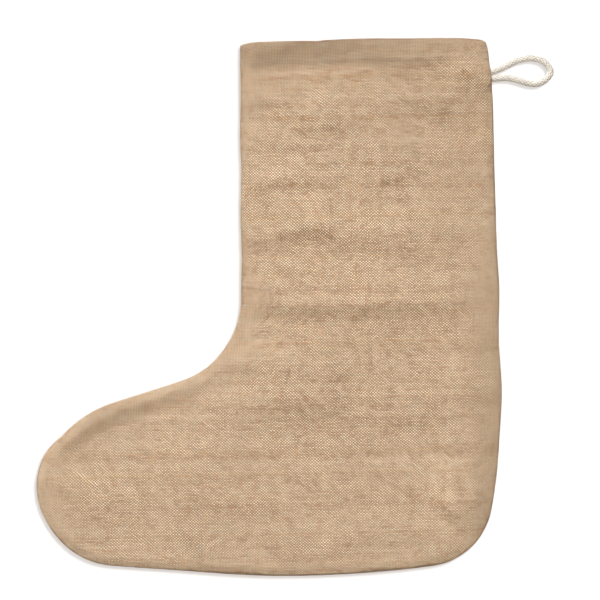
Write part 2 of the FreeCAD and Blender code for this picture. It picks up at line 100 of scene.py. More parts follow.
def unit(vectors):
    """The same directions, one long."""
    return vectors / np.maximum(np.linalg.norm(vectors, axis=1, keepdims=True), 1e-12)


def make_mesh(name, points, faces):
    mesh = bpy.data.meshes.new(name)
    mesh.from_pydata([tuple(p) for p in points], [], [tuple(int(i) for i in f) for f in faces])
    mesh.validate(clean_customdata=False)
    mesh.polygons.foreach_set("use_smooth", np.ones(len(mesh.polygons), bool))
    obj = bpy.data.objects.new(name, mesh)
    bpy.context.scene.collection.objects.link(obj)
    return obj


def belongs_to_bag(obj, node):
    """The piece moves with the bag and stands for one CAD node."""
    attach(obj, "bag")
    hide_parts(node)


def set_uv(obj, name, per_vertex):
    """Stores a flat position for every vertex, so that weave follows the cloth."""
    layer = obj.data.uv_layers.new(name=name)
    loops = np.zeros(len(obj.data.loops), np.int32)
    obj.data.loops.foreach_get("vertex_index", loops)
    layer.data.foreach_set("uv", np.asarray(per_vertex, np.float32)[loops].ravel())


def vertex_normals(points, faces):
    """Area-weighted normals of a triangle mesh."""
    tri = points[faces]
    normal = np.cross(tri[:, 1] - tri[:, 0], tri[:, 2] - tri[:, 0])
    total = np.zeros_like(points)
    for corner in range(3):
        np.add.at(total, faces[:, corner], normal)
    return unit(total)


def triangle_sides(faces):
    """The three directed sides of every triangle."""
    return np.concatenate([faces[:, [0, 1]], faces[:, [1, 2]], faces[:, [2, 0]]])


def boundary_edges(faces):
    """Directed edges that belong to one triangle only."""
    edges = triangle_sides(faces)
    key = np.sort(edges, axis=1)
    _, inverse, count = np.unique(key, axis=0, return_inverse=True, return_counts=True)
    return edges[count[inverse.ravel()] == 1]


def thicken(points, faces, thickness):
    """Turns an open triangle sheet into a closed skin of even thickness."""
    normal = vertex_normals(points, faces)
    count = len(points)
    both = np.concatenate([points + normal * thickness / 2, points - normal * thickness / 2])
    rim = boundary_edges(faces)
    a, b = rim[:, 0], rim[:, 1]
    sides = np.concatenate([np.stack([b, a, a + count], 1), np.stack([b, a + count, b + count], 1)])
    return both, np.concatenate([faces, faces[:, ::-1] + count, sides])


# ---- outline of the bag


def seam_line():
    """The stitched edge read off the CAD panel, from the shin side of the mouth round to the heel
    side, as points 1 mm apart in the XZ plane."""
    panel = frame["nodes"]["front_panel"]
    tree = BVHTree.FromObject(panel, bpy.context.evaluated_depsgraph_get())
    plane_y = -1.4 * MM       # depth at which the panel's rim is read
    reach = 0.6               # longer than the part
    level = TOP - 60 * MM     # the rim is read level by level above this, and round a point below it
    cord_gap = 12 * MM        # the cord bulges this much of the rim, above and below itself

    def side_points(direction):
        found = []
        for z in np.arange(TOP - 0.5 * MM, level, -1.0 * MM):
            if direction < 0 and abs(z - SWING.z) < cord_gap:
                continue
            start = Vector((SWING.x - direction * reach, plane_y, z))
            hit = tree.ray_cast(start, Vector((direction, 0, 0)), reach * 2)[0]
            found.append((hit.x, hit.z))
        return found

    left, right = side_points(1), side_points(-1)
    centre = Vector((PANEL_LOW[0] * 0.30 + PANEL_HIGH[0] * 0.70, plane_y,
                     PANEL_LOW[2] * 0.84 + TOP * 0.16))
    steps = 2400
    round_foot = []
    for step in range(steps):
        angle = math.radians(90) + math.tau * step / steps
        out = Vector((math.cos(angle), 0, math.sin(angle)))
        hit = tree.ray_cast(centre + out * reach, -out, reach)[0]
        if hit is not None and hit.z < level:
            round_foot.append((hit.x, hit.z))
    line = np.array([(left[0][0], TOP)] + left + round_foot + right[::-1] + [(right[0][0], TOP)])
    line = resample(line, 1.0 * MM)
    for _ in range(6):
        line[1:-1] = (line[:-2] + 2 * line[1:-1] + line[2:]) / 4
    return line


def resample(line, step):
    along = np.concatenate([[0], np.cumsum(np.linalg.norm(np.diff(line, axis=0), axis=1))])
    count = max(2, int(round(along[-1] / step)) + 1)
    even = np.linspace(0, along[-1], count)
    return np.stack([np.interp(even, along, line[:, i]) for i in range(line.shape[1])], 1)


def inward_normals(line):
    run = unit(np.gradient(line, axis=0))
    return np.stack([-run[:, 1], run[:, 0]], 1)


def inside(points, polygon):
    """Even-odd test of many points against a closed polygon."""
    x, z = points[:, 0], points[:, 1]
    result = np.zeros(len(points), bool)
    for (x0, z0), (x1, z1) in zip(polygon, np.roll(polygon, -1, axis=0)):
        crosses = (z0 > z) != (z1 > z)
        if crosses.any():
            at = x0 + (z - z0) * (x1 - x0) / (z1 - z0 + 1e-15)
            result ^= crosses & (x < at)
    return result


def nearest_on(line, points):
    """Distance from each point to a dense line, and the index of the nearest place on it."""
    best = np.empty(len(points))
    where = np.empty(len(points), int)
    block = 4000              # points at a time, to spare memory
    for start in range(0, len(points), block):
        part = slice(start, start + block)
        gap = np.linalg.norm(points[part, None, :] - line[None, :, :], axis=2)
        where[part] = gap.argmin(axis=1)
        best[part] = gap.min(axis=1)
    return best, where


def flat_pattern(pitch):
    """The panel's cloth laid flat: points, triangles, and the counts of seam and mouth points, which
    come first. Seam points run round the stitched edge and mouth points back along the opening."""
    seam = resample(SEAM, pitch)
    mouth = resample(np.array([seam[-1], seam[0]]), pitch)[1:-1]
    ring = np.concatenate([seam, mouth])
    low, high = ring.min(axis=0), ring.max(axis=0)
    rows = np.arange(low[1], high[1], pitch * math.sqrt(3) / 2)
    grid = []
    for index, z in enumerate(rows):
        xs = np.arange(low[0] + (index % 2) * pitch / 2, high[0], pitch)
        grid.append(np.stack([xs, np.full(len(xs), z)], 1))
    grid = np.concatenate(grid)
    grid = grid[inside(grid, ring)]
    gap, _ = nearest_on(resample(np.concatenate([ring, ring[:1]]), 1.0 * MM), grid)
    grid = grid[gap > pitch * 0.62]
    points = np.concatenate([ring, grid])
    count = len(ring)
    edges = [(i, (i + 1) % count) for i in range(count)]
    made = geometry.delaunay_2d_cdt([Vector(p) for p in points], edges, [], 1, 1e-7)
    flat = np.array([tuple(v) for v in made[0]])
    faces = np.array(made[2])
    order = np.full(len(flat), -1)
    for new, olds in enumerate(made[3]):
        if olds:
            order[new] = olds[0]
    back = np.argsort(order)
    place = np.empty(len(flat), int)
    place[back] = np.arange(len(flat))
    return flat[back], place[faces], len(seam), len(mouth)


def split_triangles(points, faces, ring):
    """Cuts every triangle into four. Returns points, faces and the ring with its midpoints."""
    edges = np.sort(triangle_sides(faces), axis=1)
    pairs, index = np.unique(edges, axis=0, return_inverse=True)
    index = index.ravel() + len(points)
    n = len(faces)
    ab, bc, ca = index[:n], index[n:2 * n], index[2 * n:]
    a, b, c = faces.T
    parts = [(a, ab, ca), (ab, b, bc), (ca, bc, c), (ab, bc, ca)]
    made = np.concatenate([np.stack(p, 1) for p in parts])
    lookup = {tuple(pair): len(points) + i for i, pair in enumerate(pairs.tolist())}
    full_ring = []
    for here, there in zip(ring, ring[1:] + ring[:1]):
        full_ring += [here, lookup[tuple(sorted((here, there)))]]
    return np.concatenate([points, points[pairs].mean(axis=1)]), made, full_ring


# ---- the shape of the relaxed cloth

SEAM = seam_line()
INWARD = inward_normals(SEAM)
SHIN_X = SEAM[0, 0]
HEEL_X = SEAM[-1, 0]

# Soft folds of the front, as crests: from (across, down) to (across, down) in millimetres from the
# shin corner of the mouth, then half-width and height.
FRONT_FOLDS = (
    ((3, 44), (23, 45), 5, 0.7),
    ((6, 78), (71, 65), 8, 1.2),
    ((3, 114), (51, 108), 9, 1.1),
    ((51, 108), (124, 97), 10, 0.5),
    ((4, 156), (58, 147), 8, 1.2),
    ((58, 149), (138, 173), 8, 0.7),
    ((14, 209), (158, 213), 10, 1.8),
    ((-10, 218), (8, 217), 6, 0.9),
    ((-11, 257), (76, 262), 11, 1.1),
    ((-14, 258), (8, 260), 5, 0.9),
    ((4, 291), (53, 293), 8, 1.1),
    ((53, 296), (156, 303), 7, 0.5),
    ((118, 16), (170, 13), 6, 0.8),
    ((180, 26), (203, 49), 7, 1.4),
    ((171, 160), (201, 166), 9, 0.8),
    ((183, 175), (205, 181), 8, 0.7),
    ((156, 288), (198, 286), 8, 0.6),
    ((-165, 347), (-132, 361), 6, 0.9),
    ((-27, 370), (21, 373), 7, 0.4),
    ((-111, 336), (-67, 340), 6, 0.2),
    ((89, 46), (161, 53), 8, 0.5),
    ((44, 241), (84, 251), 9, 0.4),
)
BACK_FOLDS = (
    ((10, 66), (90, 78), 9, 1.3),
    ((110, 104), (196, 96), 8, 1.4),
    ((4, 140), (70, 150), 9, 1.2),
    ((90, 168), (198, 178), 10, 1.1),
    ((0, 205), (120, 212), 9, 1.5),
    ((20, 262), (150, 248), 9, 1.2),
    ((-10, 276), (60, 300), 8, 1.2),
    ((-120, 330), (-30, 296), 10, 1.2),
    ((60, 340), (170, 330), 12, 0.8),
)

FOLD_DEPTH = 2.3          # makes every fold in the tables deeper or shallower
FOLD_SOFT = 2.3           # a fold rises gently on its upper side
FOLD_STEEP = 1.05         # and drops more steeply below its crest

# How far the empty bag stands out from its mid-plane, in millimetres.
EDGE_ROUND = 1.4          # the turned edge at the stitches
SHOULDER = 1.3            # more just inside it
ALLOWANCE_DROP = 0.4      # less where the allowance inside it ends
INSTEP_DROP = 3.2         # less along the instep, which is pressed flat
HEEL_RISE = 5.4           # more on the heel side of the foot
MIDDLE_RISE = 5.8         # more towards the middle
SLACK = 35.0              # distance from the seam in which most of that is reached
INSTEP_SLACK = 34.0       # extra distance at the instep
LEG_SHARE = (0.82, 0.18)  # share of the middle's rise at the mouth, and what the leg adds below it
FOOT_LOSS = 0.75          # share that the foot lacks
MOUTH_FLARE = 4.6         # the open mouth stands apart
HEM_RISE = 0.45           # the hem is two layers thick
CREASES = 0.45            # broad unevenness
RIPPLES = 0.16            # fine unevenness
PRESSED = 0.25            # share of a fold's height that is left at the stitched edge


def hollow_noise(points, seed, scale):
    """Smooth, seeded undulation between -1 and 1, stretched sideways as cloth sags."""
    rng = np.random.default_rng(seed)
    total = np.zeros(len(points))
    waves = 14
    for _ in range(waves):
        angle = rng.normal(math.pi / 2, 0.55)
        length = scale * rng.uniform(0.7, 1.9)
        phase = rng.uniform(0, math.tau)
        k = math.tau / length
        total += np.sin(k * (points[:, 0] * math.cos(angle) + points[:, 1] * math.sin(angle)) + phase)
    return total / math.sqrt(waves / 2) / 2


def crest(points, fold):
    """Height of one fold of the tables at each point."""
    (x0, d0), (x1, d1), width, height = fold
    start = np.array([SHIN_X + x0 * MM, TOP - d0 * MM])
    end = np.array([SHIN_X + x1 * MM, TOP - d1 * MM])
    run = end - start
    length = np.linalg.norm(run)
    t = np.clip((points - start) @ run / length ** 2, -0.5, 1.5)
    above = np.cross(run / length, points - start) * np.sign(run[0])
    side = np.abs(above) / np.where(above > 0, FOLD_SOFT, FOLD_STEEP)
    beyond = np.maximum(np.maximum(-t, t - 1), 0) * length
    wobble = 1 + 0.25 * hollow_noise(points, int(width * 7 + x0 + 500), 40 * MM)
    taper = np.exp(-(beyond / (width * 1.6 * MM)) ** 2)
    return height * MM * wobble * taper * np.exp(-(side / (width * MM)) ** 2)


def puff(points, gap, where, folds, seed):
    """How far the cloth stands out from the mid-plane. Every range is in millimetres: d is the
    distance from the seam, down from the mouth, across from the shin."""
    d = gap / MM
    down = (TOP - points[:, 1]) / MM
    facing_x, facing_z = INWARD[where].T
    across = (points[:, 0] - SHIN_X) / MM
    instep = smoothstep(0.5, 0.85, -facing_z) * (1 - smoothstep(-50, -14, across))
    heel = smoothstep(0.6, 0.95, -facing_x) * smoothstep(165, 250, down)
    edge = EDGE_ROUND * (1 - np.exp(-d / 0.7)) + SHOULDER * smoothstep(0.8, 8.0, d)
    step = -ALLOWANCE_DROP * smoothstep(7.5, 11.5, d)
    step -= instep * INSTEP_DROP * smoothstep(5.0, 21.0, d) * (1 - smoothstep(24, 74, d))
    slack = SLACK + INSTEP_SLACK * instep * (1 - smoothstep(38, 72, d))
    full = MIDDLE_RISE * (1 - np.exp(-(np.maximum(d - 8.0, 0) / slack) ** 1.6))
    at_mouth, below = LEG_SHARE
    full *= at_mouth + below * smoothstep(0, 70, down) - FOOT_LOSS * smoothstep(255, 330, down)
    full += heel * HEEL_RISE * smoothstep(0, 21, d) * (1 - smoothstep(24, 58, d))
    flare = MOUTH_FLARE * np.clip(1 - down / 20.0, 0, 1) * smoothstep(2.0, 14.0, d)
    flare *= 1 - 0.75 * smoothstep(110, 175, across)
    hem = HEM_RISE * (1 - smoothstep(15.5, 19.0, down)) * smoothstep(2.0, 9.0, d)
    hem *= 1 + 0.5 * hollow_noise(points, seed + 3, 55 * MM)
    out = (edge + step + full + flare + hem) * MM
    inner = smoothstep(2.0, 16.0, d)
    out += inner * CREASES * MM * hollow_noise(points, seed, 60 * MM)
    out += inner * RIPPLES * MM * hollow_noise(points, seed + 1, 22 * MM)
    for fold in folds:
        out += FOLD_DEPTH * crest(points, fold) * (PRESSED + (1 - PRESSED) * inner)
    return out


def cord_bump(points, gap):
    """The cloth lifts over the cord where it passes between the seam allowances, and over the
    cord's ends a little further in."""
    at_seam, at_ends = 2.6, 1.9                   # heights, in mm
    end_x, end_long, end_high = HEEL_X - 12 * MM, 17 * MM, 13 * MM
    off = np.abs(points[:, 1] - SWING.z + 1.2 * MM) / MM
    near = (1 - smoothstep(5.6, 11.5, off)) * (points[:, 0] > (SHIN_X + HEEL_X) / 2)
    ridge = at_seam * near * (1 - smoothstep(0.0, 9.0, gap / MM))
    away = np.hypot((points[:, 0] - end_x) / end_long, (points[:, 1] - SWING.z) / end_high)
    return (ridge + at_ends * np.exp(-away ** 2)) * MM


def settle_outline(points, gap):
    """Small sideways shifts that the sewn cloth takes up: the heel corner of the mouth draws in, and
    the open edge isn't ruled straight."""
    moved = points.copy()
    down = (TOP - points[:, 1]) / MM
    heel_side = smoothstep(40, 0, (HEEL_X - points[:, 0]) / MM)
    below = np.maximum(down, 0)
    pull = 2.2 * np.exp(-below / 22.0) + 2.0 * np.exp(-below / 5.0)
    moved[:, 0] -= pull * MM * heel_side
    across = (points[:, 0] - SHIN_X) / MM
    bow = 0.35 * np.sin(across / 202 * math.pi)   # 202 mm is the width of the mouth
    ripple = 0.25 * np.sin(across / 12)
    rise = -1.1 + bow + ripple
    nick = 0.7 * np.exp(-((across - 61) / 4.5) ** 2)
    rise -= nick + 0.9 * heel_side ** 3
    moved[:, 1] += rise * MM * np.exp(-below / 30.0)
    wave = 0.7 * hollow_noise(points, 91, 60 * MM) * smoothstep(18, 0, gap / MM)
    moved[:, 0] += wave * MM
    moved[:, 1] += 0.5 * wave * MM * smoothstep(0, 30, down)
    return moved


# ---- building a panel


def panel_geometry(side, flat, faces, ring, seam_count, folds, seed, extra):
    """The whole cloth of one panel as one sheet: face, turned-in seam allowance and folded hem.
    Returns mid-surface points, triangles and the flat position of every point."""
    gap, where = nearest_on(SEAM, flat)
    apart = 0.55 * MM         # half the distance between the two cloths at the stitches
    height = apart + puff(flat, gap, where, folds, seed) + cord_bump(flat, gap) + extra
    placed = settle_outline(flat, gap)
    skin = np.stack([placed[:, 0], side * height, placed[:, 1]], 1)

    # Weave runs true over the rounded edge: the flat position moves outwards with the slope there.
    outwards = 1.6 * MM * np.exp(-gap / (2.0 * MM))
    cloth_uv = flat - INWARD[where] * outwards[:, None]

    seam_ids = np.array(ring[:seam_count * 2 - 1])
    points, uvs, tris = [skin], [cloth_uv], [faces if side == FRONT else faces[:, ::-1]]

    def add_row(row, uv, previous):
        """Adds a row of points, joined to the row before. Returns their numbers."""
        total = sum(len(p) for p in points)
        ids = np.arange(total, total + len(row))
        points.append(row)
        uvs.append(uv)
        a, b, c, d = previous[:-1], previous[1:], ids[:-1], ids[1:]
        quads = np.concatenate([np.stack([a, c, b], 1), np.stack([b, c, d], 1)])
        tris.append(quads if side == FRONT else quads[:, ::-1])
        return ids

    # Seam allowance: from the stitched edge back inside along the mid-plane.
    normals = INWARD[where[seam_ids]]
    lift = np.minimum(cord_bump(flat[seam_ids], np.zeros(len(seam_ids))), CORD_LIFT)
    previous = seam_ids
    base = placed[seam_ids]
    turn = 2.4                # cloth taken up by the turn at the seam, in mm
    # Each row is a distance inside the seam and a distance from the mid-plane, in mm.
    rows = ((0.25, 0.62), (1.2, 0.52), (3.0, 0.5), (5.2, 0.5), (7.4, 0.5), (ALLOWANCE / MM, 0.5))
    for inset, out in rows:
        row = base + normals * inset * MM
        row[:, 1] = np.minimum(row[:, 1], base[:, 1])
        placed_row = np.stack([row[:, 0], side * (out * MM + lift), row[:, 1]], 1)
        previous = add_row(placed_row, flat[seam_ids] - normals * (inset + turn) * MM, previous)

    # Hem: over the top of the mouth and down inside.
    tree = BVHTree.FromPolygons([Vector(p) for p in skin], faces.tolist())
    mouth_ids = np.array(ring[seam_count * 2 - 2:] + ring[:1])
    mouth_ids = mouth_ids[gap[mouth_ids] > CLOTH]
    room = smoothstep(0.0, 4.0, gap[mouth_ids] / MM)
    previous = mouth_ids
    # Each row is a distance inside the outer cloth and a height over its edge, in mm.
    rows = ((0.0, 0.45), (0.35, 0.85), (0.95, 0.7), (1.25, 0.0)) + tuple(
        (1.25, -depth) for depth in np.linspace(2.0, HEM / MM, 8)
    )
    for inward, rise in rows:
        row = []
        for index, free in zip(mouth_ids, room):
            x, y, z = skin[index]
            level = z + min(rise, 0) * MM
            hit = tree.ray_cast(Vector((x, -0.05, level - 0.02 * MM)), Vector((0, 1, 0)), 0.1)[0]
            if hit is not None:
                y = hit.y
            row.append((x, y - side * inward * free * MM, z + rise * MM * (free if rise > 0 else 1)))
        previous = add_row(np.array(row), flat[mouth_ids] + np.array([0, (1.5 - rise) * MM]), previous)
    return np.concatenate(points), np.concatenate(tris), np.concatenate(uvs)


def coarse_bag(flat, faces, ring):
    """Front and back as one light mesh, welded round the seam, and the back's number of each point."""
    gap, where = nearest_on(SEAM, flat)
    count = len(flat)
    fronts = np.stack([flat[:, 0], -0.4 * MM - puff(flat, gap, where, (), 5), flat[:, 1]], 1)
    backs = fronts * np.array([1, -1, 1])
    points = np.concatenate([fronts, backs])
    weld = np.arange(count) + count
    for index in ring:
        points[index, 1] = 0
        weld[index] = index
    bag = make_mesh("bag_trial", points, np.concatenate([faces, weld[faces][:, ::-1]]))
    return bag, weld


def relaxed_wrinkles(flat, faces, ring, mouth):
    """Lets the sewn cloth settle under a little air pressure, and returns how far each point of the
    front and the back stands proud of its own surroundings."""
    bag, weld = coarse_bag(flat, faces, ring)
    held = bag.vertex_groups.new(name="held")
    held.add([int(i) for i in set(ring)], 1.0, "REPLACE")
    held.add([int(i) for i in mouth] + [int(weld[i]) for i in mouth], 1.0, "REPLACE")
    cloth = bag.modifiers.new("cloth", "CLOTH")
    settings = cloth.settings
    settings.quality = 5
    settings.mass = 0.15
    settings.tension_stiffness = settings.compression_stiffness = 22
    settings.shear_stiffness = 12
    settings.bending_stiffness = 0.9
    settings.shrink_min = -0.022
    settings.use_pressure = True
    settings.uniform_pressure_force = 4.0
    settings.vertex_group_mass = "held"
    settings.effector_weights.gravity = 0.0
    cloth.collision_settings.use_collision = False
    first_frame, last_frame = 1, 20
    cloth.point_cache.frame_start, cloth.point_cache.frame_end = first_frame, last_frame
    scene = bpy.context.scene
    start = np.array([tuple(v.co) for v in bag.data.vertices])
    for frame_number in range(first_frame, last_frame + 1):
        scene.frame_set(frame_number)
    settled = bag.evaluated_get(bpy.context.evaluated_depsgraph_get()).to_mesh()
    end = np.array([tuple(v.co) for v in settled.vertices])
    scene.frame_set(first_frame)
    bpy.data.objects.remove(bag, do_unlink=True)
    edges = np.unique(np.sort(triangle_sides(faces), axis=1), axis=0)
    ties = np.bincount(edges.ravel(), minlength=len(flat)).astype(float)
    cap = 6 * MM              # farthest that a point may travel
    passes = 40               # rounds of averaging that leave only the broad shape
    share = 0.5               # how much of a wrinkle is kept
    result = []
    for side, ids in ((FRONT, np.arange(len(flat))), (BACK, weld)):
        moved = side * np.clip((end - start)[ids, 1], -cap, cap)
        broad = moved.copy()
        for _ in range(passes):
            near = (np.bincount(edges[:, 0], broad[edges[:, 1]], len(flat))
                    + np.bincount(edges[:, 1], broad[edges[:, 0]], len(flat)))
            broad = near / ties
        result.append(np.clip(share * (moved - broad), -WRINKLE, WRINKLE))
    return result


def spread(values, flat, fine):
    """Carries values from the coarse pattern to the fine one."""
    tree = kdtree.KDTree(len(flat))
    for index, point in enumerate(flat):
        tree.insert((point[0], point[1], 0), index)
    tree.balance()
    out = np.zeros((len(fine), len(values)))
    stacked = np.stack(values, 1)
    for index, point in enumerate(fine):
        near = tree.find_n((point[0], point[1], 0), 5)
        weight = np.array([1 / (n[2] + 0.4 * MM) ** 2 for n in near])
        out[index] = weight @ stacked[[n[1] for n in near]] / weight.sum()
    return out.T


def build_panels():
    flat, faces, seam_count, mouth_count = flat_pattern(PITCH)
    ring = list(range(seam_count + mouth_count))
    fine, fine_faces, fine_ring = split_triangles(flat, faces, ring)
    extra = np.zeros((2, len(fine)))
    coarse, coarse_faces, coarse_seam, coarse_mouth = flat_pattern(PITCH * 1.55)
    mouth = range(coarse_seam, coarse_seam + coarse_mouth)
    extra = spread(relaxed_wrinkles(coarse, coarse_faces, range(coarse_seam), mouth), coarse, fine)
    made = {}
    for name, node, side, folds, seed, wrinkle in (
        ("cloth_front", "front_panel", FRONT, FRONT_FOLDS, 5, extra[0]),
        ("cloth_back", "back_panel", BACK, BACK_FOLDS, 23, extra[1]),
    ):
        points, tris, uvs = panel_geometry(
            side, fine, fine_faces, fine_ring, seam_count, folds, seed, wrinkle)
        closed, closed_tris = thicken(points, tris, CLOTH)
        obj = make_mesh(name, closed, closed_tris)
        set_uv(obj, "cloth", np.concatenate([uvs, uvs]))
        belongs_to_bag(obj, node)
        made[name] = obj
    return made


# ---- shader building


class Graph:
    """Writes the node tree of a material or a world as formulas."""

    def __init__(self, owner):
        self.owner = owner
        owner.use_nodes = True
        self.tree = owner.node_tree
        self.tree.nodes.clear()

    def node(self, kind, **settings):
        node = self.tree.nodes.new(kind)
        for key, value in settings.items():
            setattr(node, key, value)
        return node

    def feed(self, socket, value):
        if isinstance(value, Term):
            self.tree.links.new(value.socket, socket)
        elif isinstance(value, bpy.types.NodeSocket):
            self.tree.links.new(value, socket)
        else:
            socket.default_value = value

    def math(self, operation, *values):
        node = self.node("ShaderNodeMath", operation=operation)
        for socket, value in zip(node.inputs, values):
            self.feed(socket, value)
        return Term(self, node.outputs[0])

    def noise(self, position, detail=1.0, rough=0.5):
        """Smooth noise with one feature to each unit of position."""
        node = self.node("ShaderNodeTexNoise")
        self.feed(node.inputs["Vector"], position)
        node.inputs["Scale"].default_value = 1.0
        node.inputs["Detail"].default_value = detail
        node.inputs["Roughness"].default_value = rough
        return Term(self, node.outputs["Fac"])

    def white(self, *values):
        """A random number for each set of whole numbers."""
        node = self.node("ShaderNodeTexWhiteNoise")
        self.feed(node.inputs["Vector"], self.vector(*values))
        return Term(self, node.outputs["Value"])

    def vector(self, x=0.0, y=0.0, z=0.0):
        node = self.node("ShaderNodeCombineXYZ")
        for socket, value in zip(node.inputs, (x, y, z)):
            self.feed(socket, value)
        return Term(self, node.outputs[0])

    def split(self, vector):
        node = self.node("ShaderNodeSeparateXYZ")
        self.feed(node.inputs[0], vector)
        return [Term(self, out) for out in node.outputs]

    def mix(self, factor, a, b):
        """Blend of two colours."""
        node = self.node("ShaderNodeMix", data_type="RGBA")
        self.feed(node.inputs["Factor"], factor)
        self.feed(node.inputs["A"], a)
        self.feed(node.inputs["B"], b)
        return Term(self, node.outputs["Result"])

    def times(self, colour, other, operation="MULTIPLY", socket=1):
        """One colour times another."""
        node = self.node("ShaderNodeVectorMath", operation=operation)
        self.feed(node.inputs[0], colour)
        self.feed(node.inputs[socket], other)
        return Term(self, node.outputs[0])

    def scale_colour(self, colour, factor):
        return self.times(colour, factor, "SCALE", "Scale")

    def ramp(self, value, low, high, a=0.0, b=1.0):
        node = self.node("ShaderNodeMapRange", interpolation_type="SMOOTHSTEP")
        for socket, item in zip(node.inputs, (value, low, high, a, b)):
            self.feed(socket, item)
        return Term(self, node.outputs[0])

    def bump(self, height, distance, strength=1.0):
        node = self.node("ShaderNodeBump")
        self.feed(node.inputs["Height"], height)
        node.inputs["Distance"].default_value = distance
        node.inputs["Strength"].default_value = strength
        return Term(self, node.outputs[0])

    def shader(self, kind, *sockets, **values):
        """The output of a shader node, with its inputs filled in order or by name."""
        node = self.node(kind)
        for socket, value in zip(node.inputs, sockets):
            self.feed(socket, value)
        for key, value in values.items():
            self.feed(node.inputs[key.replace("_", " ")], value)
        return node.outputs[0]

    def finish(self, shader, kind="Material"):
        """Sends a shader to the output."""
        self.feed(self.node("ShaderNodeOutput" + kind).inputs["Surface"], shader)
        return self.owner

    def surface(self, colour, roughness, normal, **values):
        return self.finish(self.shader("ShaderNodeBsdfPrincipled", Base_Color=colour,
                                       Roughness=roughness, Normal=normal, **values))


def operation(kind, swapped=False):
    """A method of Term that adds one math node."""
    def apply(self, *others):
        values = (self, *others)
        return self.graph.math(kind, *(values[::-1] if swapped else values))
    return apply


class Term:
    """One value in a node tree, usable in arithmetic."""

    def __init__(self, graph, socket):
        self.graph = graph
        self.socket = socket

    __add__ = operation("ADD")
    __sub__ = operation("SUBTRACT")
    __rsub__ = operation("SUBTRACT", swapped=True)
    __mul__ = operation("MULTIPLY")
    __rmul__ = operation("MULTIPLY", swapped=True)
    floor = operation("FLOOR")
    fract = operation("FRACT")
    cos = operation("COSINE")
    root = operation("SQRT")
    above = operation("GREATER_THAN")
    highest = operation("MAXIMUM")


def linear(r, g, b):
    """A display colour, 0 to 255, as scene-linear RGBA."""
    def one(v):
        v /= 255.0
        return v / 12.92 if v <= 0.04045 else ((v + 0.055) / 1.055) ** 2.4
    return (one(r), one(g), one(b), 1.0)


WARP = 1.24 * MM          # spacing of the upright yarns
WEFT = 1.12 * MM          # spacing of the level yarns


